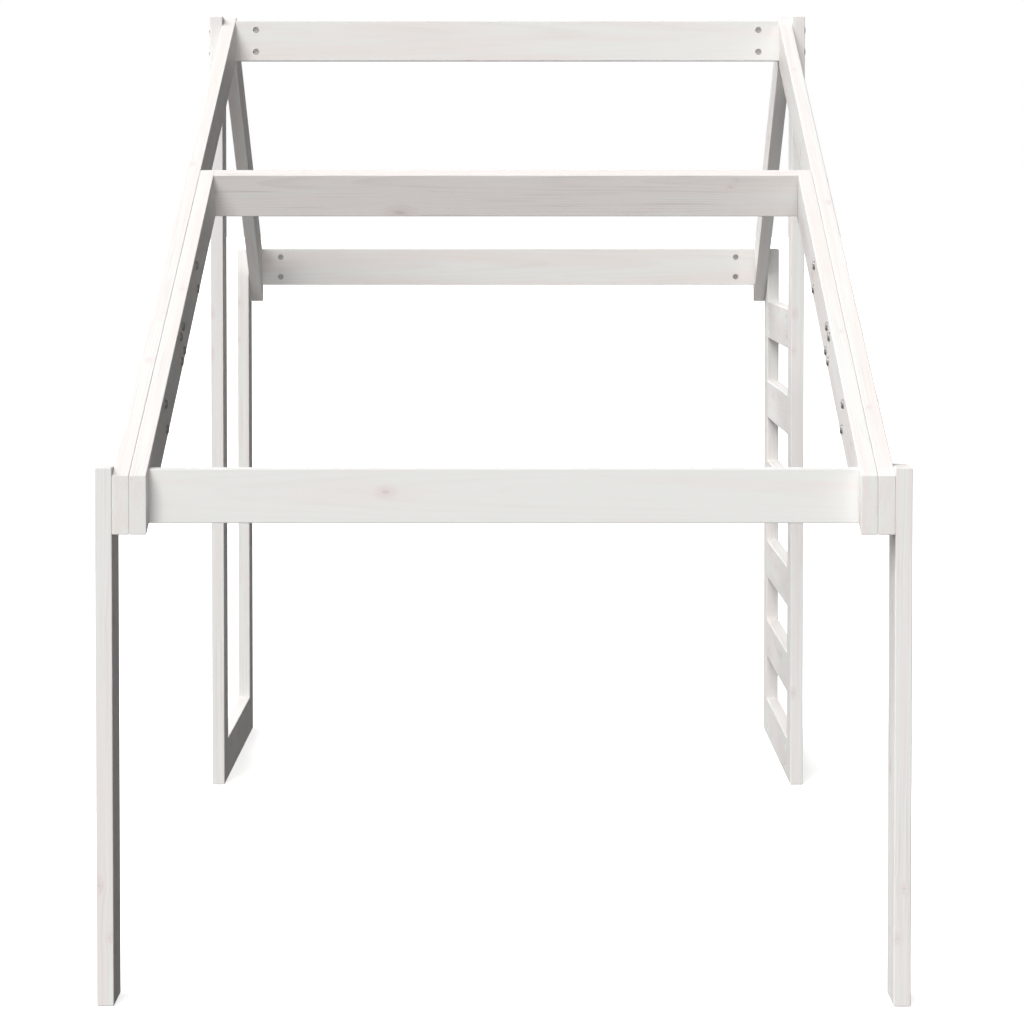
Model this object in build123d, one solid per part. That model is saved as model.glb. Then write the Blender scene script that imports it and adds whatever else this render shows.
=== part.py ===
from build123d import *
import os
from math import atan, cos, sin

# A house-shaped canopy frame with a built-in ladder, for a child's bed.
# X runs across the bed, Y from the low front end to the back, Z up; all in millimetres.
# The origin is on the floor, in the middle of the footprint. The ladder is on the +X side.

# Overall size and board stock
WIDTH = 1040
DEPTH = 2100
BOARD_W = 70
BOARD_T = 22
EDGE_R = 1.5

# Posts
FRONT_POST_H = 690
RIDGE_H = 1350
REAR_POST_H = 935
RIDGE_Y = 493

# Roof boards: heights of their top edge at the front end and at the rear end
FRONT_RAFTER_TOP = 680
REAR_RAFTER_TOP = 920
SPLICE_AT = 452
SPLICE_NEAR = 17
SPLICE_FAR = 222
PURLIN_AT = 974

# Cross beams: setback of the front face from the front end, and height of the top edge
EAVE_SETBACK = 28
EAVE_TOP = 686.5
RIDGE_BEAM_SETBACK = 1523
RIDGE_BEAM_TOP = 1343
REAR_BEAM_SETBACK = DEPTH - BOARD_T

# Ladder
RUNG_COUNT = 6
RUNG_PITCH = 153.1

# Fasteners
EDGE_DISTANCE = 16
HEAD_D = 13
HEAD_H = 3
HEAD_ROUND = 2.2
HEX_FLATS = 4
HEX_DEPTH = 1.8
BOLT_D = 6
BOLT_HOLE = 6.6
BOLT_TIP = 6
THREAD_BORE = 6.2
SLEEVE_D = 8
SLEEVE_L = 18
SLEEVE_HOLE = 8.4
NUT_D = 10
NUT_L = 16
NUT_HOLE = 10.6
NUT_RECESS = 3
NUT_FROM_BEAM_END = 36
NUT_FROM_RUNG_END = 28
SLOT_W = 1.6
COUNTERBORE_D = 14
COUNTERBORE_H = 4
STUD_IN_POST = 28
DOWEL_D = 8
DOWEL_L = 40
DOWEL_HOLE = 8.2
SCREW_HEAD_D = 9
SCREW_D = 4.5
SCREW_L = 38
SCREW_HOLE = 4.8
SCREW_SLOT_L = 5.4
SCREW_BEHIND_APEX = 17.5
SCREW_DOWN = (24, 70)
CLEAR = 1
TOUCHING = 0.01

# Worked out from the above
FRONT = -DEPTH / 2
REAR = DEPTH / 2
POST_X = WIDTH / 2 - BOARD_T
OUTER_X = POST_X - BOARD_T
INNER_X = OUTER_X - BOARD_T
MID_T = BOARD_T / 2
SLOPE = (RIDGE_H - FRONT_RAFTER_TOP) / (RIDGE_Y - FRONT)
REAR_SLOPE = (REAR_RAFTER_TOP - RIDGE_H) / (REAR - RIDGE_Y)
RIDGE_POST_BACK = RIDGE_Y + BOARD_W / 2
REAR_POST_FRONT = REAR - BOARD_W
ACROSS_BOARD = (EDGE_DISTANCE, BOARD_W - EDGE_DISTANCE)
NUT_DEPTH = NUT_RECESS + NUT_L
INTO_BEAM = NUT_FROM_BEAM_END + BOLT_TIP
X_AXIS = Vector(1, 0, 0)
Y_AXIS = Vector(0, 1, 0)
SLOPE_DIR = Vector(0, cos(atan(SLOPE)), sin(atan(SLOPE)))


# --- Boards ---------------------------------------------------------------------------


def lies_in(edge, plane):
    """Tell whether a straight edge lies in a plane."""
    return all(abs(plane.to_local_coords(v.center()).Z) < TOUCHING for v in edge.vertices())


def eased(board, butt_planes=()):
    """Round every edge of a board, except those of an end that butts against another."""
    edges = [e for e in board.edges() if not any(lies_in(e, plane) for plane in butt_planes)]
    return fillet(edges, EDGE_R)


def box_between(low, high):
    """Return the box between two opposite corners."""
    size = Vector(*high) - Vector(*low)
    return Pos(*low) * Box(size.X, size.Y, size.Z, align=(Align.MIN, Align.MIN, Align.MIN))


def post(y_front, height):
    """Return a right-hand post, rounded at both ends."""
    return eased(box_between((POST_X, y_front, 0), (WIDTH / 2, y_front + BOARD_W, height)))


def slope_line(y, top, slope, start):
    """Return the height at y of a line that has height top at start."""
    return top + slope * (y - start)


def slope_point(along, down):
    """Return (y, z) on the long slope: along it from the front end, and down from its top edge."""
    return (
        FRONT + along * SLOPE_DIR.Y + down * SLOPE_DIR.Z,
        FRONT_RAFTER_TOP + along * SLOPE_DIR.Z - down * SLOPE_DIR.Y,
    )


def plumb_pair(y, top, slope, start):
    """Return the top and bottom (y, z) of a roof board's plumb cut at y."""
    z = slope_line(y, top, slope, start)
    return (y, z), (y, z - BOARD_W / cos(atan(slope)))


def plumb_cut(y):
    """Return the plane of a plumb cut at y."""
    return Plane(origin=(0, y, 0), z_dir=Y_AXIS)


def square_cut(along):
    """Return the plane that cuts the long slope square, at a distance along it."""
    return Plane(origin=(0, *slope_point(along, 0)), z_dir=SLOPE_DIR)


def roof_board(corners, x, butt_planes=()):
    """Return a board with a four-cornered (y, z) side, one board thick outwards from x."""
    side = make_face(Plane.YZ.offset(x) * Polyline(*corners, close=True))
    return eased(extrude(side, BOARD_T, dir=X_AXIS), butt_planes)


def rafter(along_start, along_end, x, butt_planes):
    """Return a length of the long slope; None means the plumb cut at that end of the slope."""
    if along_start is None:
        start = plumb_pair(FRONT, FRONT_RAFTER_TOP, SLOPE, FRONT)
    else:
        start = (slope_point(along_start, 0), slope_point(along_start, BOARD_W))
    if along_end is None:
        end = plumb_pair(RIDGE_Y, FRONT_RAFTER_TOP, SLOPE, FRONT)
    else:
        end = (slope_point(along_end, 0), slope_point(along_end, BOARD_W))
    return roof_board((start[0], end[0], end[1], start[1]), x, butt_planes)


def cross_beam(setback, top, half_length):
    """Return an upright beam across the frame, square at both ends."""
    y = FRONT + setback
    ends = [Plane(origin=(x, 0, 0), z_dir=X_AXIS) for x in (-half_length, half_length)]
    beam = box_between((-half_length, y, top - BOARD_W), (half_length, y + BOARD_T, top))
    return eased(beam, ends)


def between_posts(x, bottom):
    """Return a rail that fills the gap between the ridge post and the rear post."""
    ends = [plumb_cut(RIDGE_POST_BACK), plumb_cut(REAR_POST_FRONT)]
    low = (x, RIDGE_POST_BACK, bottom)
    high = (x + BOARD_T, REAR_POST_FRONT, bottom + BOARD_W)
    return eased(box_between(low, high), ends)


# --- Holes ----------------------------------------------------------------------------


def rod(start, direction, diameter, length):
    """Return a cylinder that starts at a point and runs along a direction."""
    upright = Cylinder(diameter / 2, length, align=(Align.CENTER, Align.CENTER, Align.MIN))
    return Plane(origin=start, z_dir=direction) * upright


def across(points, diameter, x_start, x_end):
    """Return one hole along X at each (y, z) point."""
    return [rod((x_start, y, z), X_AXIS, diameter, x_end - x_start) for y, z in points]


def both_ways(shapes):
    """Return the shapes and their mirror images on the other side of the frame."""
    return [*shapes, *(mirror(shape, about=Plane.YZ) for shape in shapes)]


def drilled(board, holes):
    """Return a board with its holes cut."""
    for hole in holes:
        board = board - hole
    return board


# --- Hardware -------------------------------------------------------------------------


def domed_head():
    """Return a domed head with a hex socket, standing up to -Z on the plane Z = 0."""
    head = Pos(0, 0, -HEAD_H / 2) * Cylinder(HEAD_D / 2, HEAD_H)
    head = fillet(head.edges().sort_by(Axis.Z)[0], HEAD_ROUND)
    socket = extrude(RegularPolygon(HEX_FLATS / 2, 6, major_radius=False), HEX_DEPTH)
    return head - Pos(0, 0, -HEAD_H) * socket


def connector_bolt(seat, direction, length):
    """Return a bolt whose head seats at a point and whose shank runs along a direction."""
    shank = Cylinder(BOLT_D / 2, length, align=(Align.CENTER, Align.CENTER, Align.MIN))
    return Plane(origin=seat, z_dir=direction) * (domed_head() + shank)


def sleeve_nut(seat, direction):
    """Return a domed nut with a threaded sleeve that runs along a direction."""
    sleeve = Cylinder(SLEEVE_D / 2, SLEEVE_L, align=(Align.CENTER, Align.CENTER, Align.MIN))
    bore = Cylinder(THREAD_BORE / 2, SLEEVE_L, align=(Align.CENTER, Align.CENTER, Align.MIN))
    nut = domed_head() + sleeve - Pos(0, 0, CLEAR) * bore
    return Plane(origin=seat, z_dir=direction) * nut


def barrel_nut(face_point, direction, bolt_direction):
    """Return a slotted cross nut sunk below a face, with its bolt hole at mid board."""
    body = Pos(0, 0, NUT_RECESS + NUT_L / 2) * Cylinder(NUT_D / 2, NUT_L)
    bolt_hole = Pos(0, 0, MID_T) * Rot(0, 90, 0) * Cylinder(THREAD_BORE / 2, 2 * NUT_D)
    slot = Pos(0, 0, NUT_RECESS) * Box(2 * NUT_D, SLOT_W, 2 * SLOT_W)
    place = Plane(origin=face_point, x_dir=bolt_direction, z_dir=direction)
    return place * (body - bolt_hole - slot)


def stud(start, direction, length):
    """Return a headless threaded stud."""
    return rod(start, direction, BOLT_D, length)


def dowel(middle, direction):
    """Return a fluted dowel's plain body, chamfered at both ends."""
    body = Cylinder(DOWEL_D / 2, DOWEL_L)
    body = chamfer(body.edges(), CLEAR)
    return Plane(origin=middle, z_dir=direction) * body


def wood_screw(seat, direction):
    """Return a countersunk screw whose head is flush with the face at seat."""
    sink = (SCREW_HEAD_D - SCREW_D) / 2
    head = Cone(SCREW_HEAD_D / 2, SCREW_D / 2, sink, align=(Align.CENTER, Align.CENTER, Align.MIN))
    shank = Cylinder(SCREW_D / 2, SCREW_L, align=(Align.CENTER, Align.CENTER, Align.MIN))
    shank = chamfer(shank.edges().sort_by(Axis.Z)[-1], SCREW_D / 3)
    slots = [Rot(0, 0, turn) * Box(SCREW_SLOT_L, CLEAR, 2 * CLEAR) for turn in (0, 90)]
    screw = head + shank - slots[0] - slots[1]
    return Plane(origin=seat, z_dir=direction) * screw


def screw_hole(seat, direction):
    """Return the countersunk hole of a wood screw."""
    wide = SCREW_HEAD_D + SCREW_HOLE - SCREW_D
    sink = (wide - SCREW_HOLE) / 2
    head = Cone(wide / 2, SCREW_HOLE / 2, sink, align=(Align.CENTER, Align.CENTER, Align.MIN))
    shank = Cylinder(SCREW_HOLE / 2, SCREW_L + CLEAR, align=(Align.CENTER, Align.CENTER, Align.MIN))
    return Plane(origin=seat, z_dir=direction) * (head + shank)


# --- Where the fasteners go, on the right-hand side -------------------------------------

splice_points = [
    slope_point(SPLICE_AT + offset, down)
    for offset in (-SPLICE_FAR, -SPLICE_NEAR, SPLICE_NEAR, SPLICE_FAR)
    for down in ACROSS_BOARD
]
purlin_points = [slope_point(PURLIN_AT + MID_T, down) for down in ACROSS_BOARD]
eave_points = [(FRONT + EAVE_SETBACK + MID_T, EAVE_TOP - down) for down in ACROSS_BOARD]
ridge_points = [(FRONT + RIDGE_BEAM_SETBACK + MID_T, RIDGE_BEAM_TOP - down) for down in ACROSS_BOARD]
rear_points = [(REAR - MID_T, REAR_POST_H - down) for down in ACROSS_BOARD]

screw_points = [(RIDGE_Y + SCREW_BEHIND_APEX, RIDGE_BEAM_TOP - down) for down in SCREW_DOWN]

rung_bottoms = [i * RUNG_PITCH for i in range(RUNG_COUNT)]
END_RUNGS = (0, RUNG_COUNT - 1)


def rail_joint_points(bottom):
    """Return the two (y, z, direction) fastener lines at each end of a rail between posts."""
    ends = ((RIDGE_POST_BACK, Y_AXIS), (REAR_POST_FRONT, -Y_AXIS))
    return [(y, bottom + up, into) for y, into in ends for up in ACROSS_BOARD]


def rail_stud_holes(bottom):
    """Return the stud holes, through the joint, of a right-hand rail between the posts."""
    length = STUD_IN_POST + NUT_FROM_RUNG_END + BOLT_TIP + 2 * CLEAR
    return [
        rod(Vector(POST_X + MID_T, y, z) - into * (STUD_IN_POST + CLEAR), into, BOLT_HOLE, length)
        for y, z, into in rail_joint_points(bottom)
    ]


def rail_studs(bottom):
    """Return the studs that hold a right-hand rail to its posts."""
    length = STUD_IN_POST + NUT_FROM_RUNG_END + BOLT_TIP
    return [
        stud(Vector(POST_X + MID_T, y, z) - into * STUD_IN_POST, into, length)
        for y, z, into in rail_joint_points(bottom)
    ]


def rail_nut_holes(bottom):
    """Return the barrel-nut holes of a right-hand rail, open on its inner face."""
    return [
        rod(Vector(POST_X, y, z) + into * NUT_FROM_RUNG_END, X_AXIS, NUT_HOLE, NUT_DEPTH)
        for y, z, into in rail_joint_points(bottom)
    ]


def rail_nuts(bottom):
    """Return the barrel nuts of a right-hand rail."""
    return [
        barrel_nut(Vector(POST_X, y, z) + into * NUT_FROM_RUNG_END, X_AXIS, into)
        for y, z, into in rail_joint_points(bottom)
    ]


def rail_dowel_holes(bottom):
    """Return the dowel holes, through the joint, of a right-hand rail between the posts."""
    reach = DOWEL_L / 2 + CLEAR
    return [
        rod(Vector(POST_X + MID_T, y, z) - into * reach, into, DOWEL_HOLE, 2 * reach)
        for y, z, into in rail_joint_points(bottom)
    ]


def rail_dowels(bottom):
    """Return the dowels of a right-hand rail."""
    return [dowel((POST_X + MID_T, y, z), into) for y, z, into in rail_joint_points(bottom)]


def beam_nut_holes(points, half_length, face, direction):
    """Return the barrel-nut holes at both ends of a beam, bored into a face along a direction."""
    x = half_length - NUT_FROM_BEAM_END
    back = direction * face
    return both_ways([rod(Vector(x, y, z) + back, direction, NUT_HOLE, NUT_DEPTH) for y, z in points])


def beam_nuts(points, half_length, face, direction):
    """Return the barrel nuts at both ends of a beam."""
    x = half_length - NUT_FROM_BEAM_END
    back = direction * face
    return both_ways([barrel_nut(Vector(x, y, z) + back, direction, X_AXIS) for y, z in points])


def beam_end_holes(points, half_length):
    """Return the bolt holes in both ends of a beam."""
    return both_ways(across(points, BOLT_HOLE, half_length - INTO_BEAM - CLEAR, half_length))


# --- The sub-parts ----------------------------------------------------------------------

parts = {}

# Posts, right then left. The left side has no ladder, only a sill rail.
eave_bolt_holes = across(eave_points, BOLT_HOLE, INNER_X, WIDTH / 2)
eave_counterbores = across(eave_points, COUNTERBORE_D, WIDTH / 2 - COUNTERBORE_H, WIDTH / 2)
ridge_bolt_holes = across(ridge_points, BOLT_HOLE, OUTER_X, WIDTH / 2)
rear_bolt_holes = across(rear_points, BOLT_HOLE, OUTER_X, WIDTH / 2)
screw_holes = [screw_hole((OUTER_X, y, z), X_AXIS) for y, z in screw_points]
ladder_holes = []
for number, bottom in enumerate(rung_bottoms):
    ladder_holes += rail_stud_holes(bottom) if number in END_RUNGS else rail_dowel_holes(bottom)
sill_holes = rail_stud_holes(0)

front_post = drilled(post(FRONT, FRONT_POST_H), eave_bolt_holes + eave_counterbores)
ridge_post = drilled(post(RIDGE_Y - BOARD_W / 2, RIDGE_H), ridge_bolt_holes + screw_holes)
rear_post = drilled(post(REAR_POST_FRONT, REAR_POST_H), rear_bolt_holes)
parts["front_post_right"] = front_post
parts["front_post_left"] = mirror(front_post, about=Plane.YZ)
parts["ridge_post_right"] = drilled(ridge_post, ladder_holes)
parts["ridge_post_left"] = mirror(drilled(ridge_post, sill_holes), about=Plane.YZ)
parts["rear_post_right"] = drilled(rear_post, ladder_holes)
parts["rear_post_left"] = mirror(drilled(rear_post, sill_holes), about=Plane.YZ)

# Roof boards: two outer lengths butted on the splice, one inner length beside them
splice_bolt_holes = across(splice_points, BOLT_HOLE, OUTER_X, POST_X)
splice_sleeve_holes = across(splice_points, SLEEVE_HOLE, INNER_X, OUTER_X)
purlin_bolt_holes = across(purlin_points, BOLT_HOLE, INNER_X, POST_X)
splice = square_cut(SPLICE_AT)
apex = plumb_cut(RIDGE_Y)
outer_holes = splice_bolt_holes + purlin_bolt_holes + eave_bolt_holes + ridge_bolt_holes
inner_holes = splice_sleeve_holes + purlin_bolt_holes + eave_bolt_holes
rear_corners = (
    *plumb_pair(RIDGE_Y, RIDGE_H, REAR_SLOPE, RIDGE_Y),
    *reversed(plumb_pair(REAR, RIDGE_H, REAR_SLOPE, RIDGE_Y)),
)
roof_boards = {
    "rafter_outer_lower": drilled(rafter(None, SPLICE_AT, OUTER_X, [splice]), outer_holes),
    "rafter_outer_upper": drilled(rafter(SPLICE_AT, None, OUTER_X, [splice, apex]), outer_holes),
    "rafter_inner": drilled(rafter(None, PURLIN_AT + BOARD_T, INNER_X, []), inner_holes),
    "rear_rafter": drilled(roof_board(rear_corners, OUTER_X, [apex]), rear_bolt_holes + screw_holes),
}
for name, board in roof_boards.items():
    parts[f"{name}_right"] = board
    parts[f"{name}_left"] = mirror(board, about=Plane.YZ)

# Cross beams. The nuts of the front pair are bored from the back, the others from the front.
eave_beam = cross_beam(EAVE_SETBACK, EAVE_TOP, INNER_X)
eave_beam = drilled(eave_beam, beam_end_holes(eave_points, INNER_X))
parts["front_eave_beam"] = drilled(eave_beam, beam_nut_holes(eave_points, INNER_X, -MID_T, -Y_AXIS))

purlin_side = [
    slope_point(PURLIN_AT, 0),
    slope_point(PURLIN_AT + BOARD_T, 0),
    slope_point(PURLIN_AT + BOARD_T, BOARD_W),
    slope_point(PURLIN_AT, BOARD_W),
]
purlin_face = make_face(Plane.YZ.offset(-INNER_X) * Polyline(*purlin_side, close=True))
purlin_ends = [Plane(origin=(x, 0, 0), z_dir=X_AXIS) for x in (-INNER_X, INNER_X)]
purlin = eased(extrude(purlin_face, 2 * INNER_X, dir=X_AXIS), purlin_ends)
purlin = drilled(purlin, beam_end_holes(purlin_points, INNER_X))
parts["middle_purlin"] = drilled(
    purlin, beam_nut_holes(purlin_points, INNER_X, -MID_T, -SLOPE_DIR)
)

ridge_beam = cross_beam(RIDGE_BEAM_SETBACK, RIDGE_BEAM_TOP, OUTER_X)
ridge_beam = drilled(ridge_beam, beam_end_holes(ridge_points, OUTER_X))
parts["ridge_beam"] = drilled(ridge_beam, beam_nut_holes(ridge_points, OUTER_X, -MID_T, Y_AXIS))

rear_beam = cross_beam(REAR_BEAM_SETBACK, REAR_POST_H, OUTER_X)
rear_beam = drilled(rear_beam, beam_end_holes(rear_points, OUTER_X))
parts["rear_eave_beam"] = drilled(rear_beam, beam_nut_holes(rear_points, OUTER_X, -MID_T, Y_AXIS))

# Ladder on the right, sill rail on the left
for number, bottom in enumerate(rung_bottoms):
    rung = between_posts(POST_X, bottom)
    if number in END_RUNGS:
        rung = drilled(rung, rail_stud_holes(bottom) + rail_nut_holes(bottom))
    else:
        rung = drilled(rung, rail_dowel_holes(bottom))
    parts[f"ladder_rung_{number + 1}"] = rung
sill = drilled(between_posts(POST_X, 0), rail_stud_holes(0) + rail_nut_holes(0))
parts["side_sill_rail"] = mirror(sill, about=Plane.YZ)

# Fasteners
eave_bolt_l = WIDTH / 2 - COUNTERBORE_H - INNER_X + INTO_BEAM
long_bolt_l = 2 * BOARD_T + INTO_BEAM
splice_bolt_l = 2 * BOARD_T - BOLT_D


def bolts_at(points, seat_x, length):
    """Return right-hand bolts that run inwards from a seat."""
    return [connector_bolt((seat_x, y, z), -X_AXIS, length) for y, z in points]


splice_bolts = bolts_at(splice_points, POST_X, splice_bolt_l)
splice_nuts = [sleeve_nut((INNER_X, y, z), X_AXIS) for y, z in splice_points]
screws = [wood_screw((OUTER_X, y, z), X_AXIS) for y, z in screw_points]
end_rung_bottoms = [rung_bottoms[number] for number in END_RUNGS]
mid_rung_bottoms = [z for number, z in enumerate(rung_bottoms) if number not in END_RUNGS]
hardware = {
    "eave_bolts": both_ways(bolts_at(eave_points, WIDTH / 2 - COUNTERBORE_H, eave_bolt_l)),
    "eave_barrel_nuts": beam_nuts(eave_points, INNER_X, -MID_T, -Y_AXIS),
    "rafter_bolts_right": splice_bolts,
    "rafter_bolts_left": [mirror(bolt, about=Plane.YZ) for bolt in splice_bolts],
    "rafter_sleeve_nuts_right": splice_nuts,
    "rafter_sleeve_nuts_left": [mirror(nut, about=Plane.YZ) for nut in splice_nuts],
    "purlin_bolts": both_ways(bolts_at(purlin_points, POST_X, long_bolt_l)),
    "purlin_barrel_nuts": beam_nuts(purlin_points, INNER_X, -MID_T, -SLOPE_DIR),
    "ridge_bolts": both_ways(bolts_at(ridge_points, WIDTH / 2, long_bolt_l)),
    "ridge_barrel_nuts": beam_nuts(ridge_points, OUTER_X, -MID_T, Y_AXIS),
    "rear_beam_bolts": both_ways(bolts_at(rear_points, WIDTH / 2, long_bolt_l)),
    "rear_beam_barrel_nuts": beam_nuts(rear_points, OUTER_X, -MID_T, Y_AXIS),
    "rear_rafter_screws": both_ways(screws),
    "ladder_studs": [s for bottom in end_rung_bottoms for s in rail_studs(bottom)],
    "ladder_barrel_nuts": [n for bottom in end_rung_bottoms for n in rail_nuts(bottom)],
    "ladder_dowels": [d for bottom in mid_rung_bottoms for d in rail_dowels(bottom)],
    "sill_studs": [mirror(s, about=Plane.YZ) for s in rail_studs(0)],
    "sill_barrel_nuts": [mirror(n, about=Plane.YZ) for n in rail_nuts(0)],
}
for name, pieces in hardware.items():
    solids = [solid for piece in pieces for solid in piece.solids()]
    parts[name] = Compound(solids)

os.makedirs("parts", exist_ok=True)
for name, shape in parts.items():
    export_step(shape, f"parts/{name}.step")
print(len(parts), "nodes", Compound([s for p in parts.values() for s in p.solids()]).bounding_box())
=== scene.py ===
"""A white-washed pine canopy frame with a ladder side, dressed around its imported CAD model.

Lengths are metres. X runs across the bed to the ladder side, Y from the low front end to the back,
and Z up. Every board is one closed surface that carries its own grain coordinates.
"""

import logging
import math
import zlib
from dataclasses import dataclass, field
from enum import Enum
from functools import reduce
from typing import Any, Callable, Mapping, Sequence, Union

import bpy
import numpy as np
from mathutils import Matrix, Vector
from mathutils.geometry import delaunay_2d_cdt


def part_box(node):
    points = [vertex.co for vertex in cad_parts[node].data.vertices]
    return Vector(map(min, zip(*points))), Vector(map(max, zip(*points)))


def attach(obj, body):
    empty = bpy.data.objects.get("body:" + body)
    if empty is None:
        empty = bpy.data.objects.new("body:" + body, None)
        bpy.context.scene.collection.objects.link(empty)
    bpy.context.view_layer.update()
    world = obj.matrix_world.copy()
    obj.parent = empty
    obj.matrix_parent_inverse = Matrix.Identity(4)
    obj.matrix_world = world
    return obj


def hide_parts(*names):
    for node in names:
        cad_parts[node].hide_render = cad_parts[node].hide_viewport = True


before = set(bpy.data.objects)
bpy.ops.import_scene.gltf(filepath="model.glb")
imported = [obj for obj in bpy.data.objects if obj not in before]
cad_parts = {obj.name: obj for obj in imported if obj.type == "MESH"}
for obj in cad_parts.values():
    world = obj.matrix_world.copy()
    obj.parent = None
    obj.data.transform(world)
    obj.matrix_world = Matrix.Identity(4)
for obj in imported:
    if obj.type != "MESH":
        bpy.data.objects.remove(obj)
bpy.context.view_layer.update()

log = logging.getLogger("canopy_frame")

Triple = tuple[float, float, float]
Colour = tuple[float, float, float, float]
Spot = tuple[float, float]
Place = tuple[np.ndarray, np.ndarray]
WELD = 1e-6
X_AXIS = np.array((1.0, 0.0, 0.0))
Y_AXIS = np.array((0.0, 1.0, 0.0))
Z_AXIS = np.array((0.0, 0.0, 1.0))


# --- Surfaces -------------------------------------------------------------------------


@dataclass(frozen=True)
class Axes:
    """Three unit axes at a point, which carry a shape from its own coordinates to the frame's."""

    origin: np.ndarray
    first: np.ndarray
    second: np.ndarray
    third: np.ndarray

    def placed(self, local: np.ndarray) -> np.ndarray:
        """Return local points in the frame: the origin plus each coordinate along its axis."""
        return self.origin + self.turned(local)

    def turned(self, local: np.ndarray) -> np.ndarray:
        """Return local directions in the frame."""
        return local @ np.array((self.first, self.second, self.third))

    @classmethod
    def facing(cls, origin: np.ndarray, outward: np.ndarray, slot: np.ndarray) -> "Axes":
        """Return right-handed axes at a point, with outward the third and slot the first."""
        return cls(origin, slot, np.cross(outward, slot), outward)


@dataclass(frozen=True)
class Patch:
    """Part of a surface as separate triangles.

    Each corner has seven numbers: its local point, its outward normal, and a mark that is 1 on
    sawn ends. Facets are shaded flat, whatever their normals, which still say the way out.
    """

    corners: np.ndarray
    faceted: bool = False

    @classmethod
    def grid(cls, rows: np.ndarray, around: bool, faceted: bool = False) -> "Patch":
        """Split a grid of corners into two triangles a cell; around joins its last column to its first."""
        if around:
            rows = np.concatenate([rows, rows[:, :1]], axis=1)
        a, b, c, d = rows[:-1, :-1], rows[:-1, 1:], rows[1:, 1:], rows[1:, :-1]
        halves = [np.stack(half, axis=2).reshape(-1, 3, 7) for half in ((a, b, c), (a, c, d))]
        return cls(np.concatenate(halves), faceted)

    @classmethod
    def fan(cls, ring: np.ndarray, centre: np.ndarray) -> "Patch":
        """Close a ring of corners with triangles that meet at a centre point."""
        hubs = np.broadcast_to(np.concatenate([centre, ring[0, 3:]]), ring.shape)
        return cls(np.stack([hubs, ring, np.roll(ring, -1, axis=0)], axis=1))


def corner_rows(points: np.ndarray, normals: np.ndarray, mark: Union[float, np.ndarray] = 0.0) -> np.ndarray:
    """Join points, normals and sawn-end marks into corners of seven numbers."""
    marks = np.broadcast_to(np.asarray(mark, float), points.shape[:-1])[..., None]
    return np.concatenate([points, np.broadcast_to(normals, points.shape), marks], axis=-1)


@dataclass
class Shell:
    """The triangles of one piece in the frame, with what each corner carries."""

    points: list[np.ndarray] = field(default_factory=list)
    normals: list[np.ndarray] = field(default_factory=list)
    local: list[np.ndarray] = field(default_factory=list)
    marks: list[np.ndarray] = field(default_factory=list)

    def add(self, patches: Sequence[Patch], axes: Axes) -> None:
        """Place patches in the frame, with every triangle wound so that it faces outwards.

        The winding is right where the cross product of two sides agrees with the sum of the
        corner normals, and is turned round elsewhere.

        Args:
            patches: Patches in their own coordinates.
            axes: Axes that carry them to the frame.
        """
        for patch in patches:
            local, normals, marks = patch.corners[..., :3], patch.corners[..., 3:6], patch.corners[..., 6]
            points, normals = axes.placed(local), axes.turned(normals)
            flat = np.cross(points[:, 1] - points[:, 0], points[:, 2] - points[:, 0])
            area = np.linalg.norm(flat, axis=1)
            kept = area > WELD**2
            inward = np.einsum("nk,nk->n", flat, normals.sum(axis=1)) < 0
            order = np.where(inward[:, None], (0, 2, 1), (0, 1, 2))
            if patch.faceted:
                turn = np.where(inward, -1.0, 1.0) / np.maximum(area, WELD**2)
                normals = np.broadcast_to((flat * turn[:, None])[:, None], normals.shape)
            for store, values in ((self.points, points), (self.normals, normals), (self.local, local)):
                store.append(np.take_along_axis(values, order[..., None], axis=1)[kept])
            self.marks.append(np.take_along_axis(marks, order, axis=1)[kept])

    def mesh(self, name: str, coordinates: str) -> bpy.types.Mesh:
        """Weld the triangles into a mesh with custom normals.

        Args:
            name: Name of the mesh.
            coordinates: Name of the corner attribute that gets the local coordinates.

        Returns:
            The mesh, with its sawn-end marks in the attribute "sawn".
        """
        points = np.concatenate(self.points)
        normals, local, marks = (np.concatenate(s) for s in (self.normals, self.local, self.marks))
        cells = np.round(points.reshape(-1, 3) / WELD).astype(np.int64)
        _, first, index = np.unique(cells, axis=0, return_index=True, return_inverse=True)
        faces = index.reshape(-1, 3)
        whole = (faces != np.roll(faces, 1, axis=1)).all(axis=1)
        mesh = bpy.data.meshes.new(name)
        mesh.from_pydata(points.reshape(-1, 3)[first].tolist(), [], faces[whole].tolist(), shade_flat=False)
        layer = mesh.attributes.new(coordinates, "FLOAT_VECTOR", "CORNER")
        layer.data.foreach_set("vector", local[whole].astype(np.float32).ravel())
        layer = mesh.attributes.new("sawn", "FLOAT", "CORNER")
        layer.data.foreach_set("value", marks[whole].astype(np.float32).ravel())
        mesh.update()
        mesh.normals_split_custom_set(normals[whole].reshape(-1, 3).tolist())
        return mesh


def constant_attribute(mesh: bpy.types.Mesh, name: str, value: Triple) -> None:
    """Give every vertex of a mesh the same three numbers under a name."""
    layer = mesh.attributes.new(name, "FLOAT_VECTOR", "POINT")
    layer.data.foreach_set("vector", np.tile(np.asarray(value, np.float32), len(mesh.vertices)))


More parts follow.
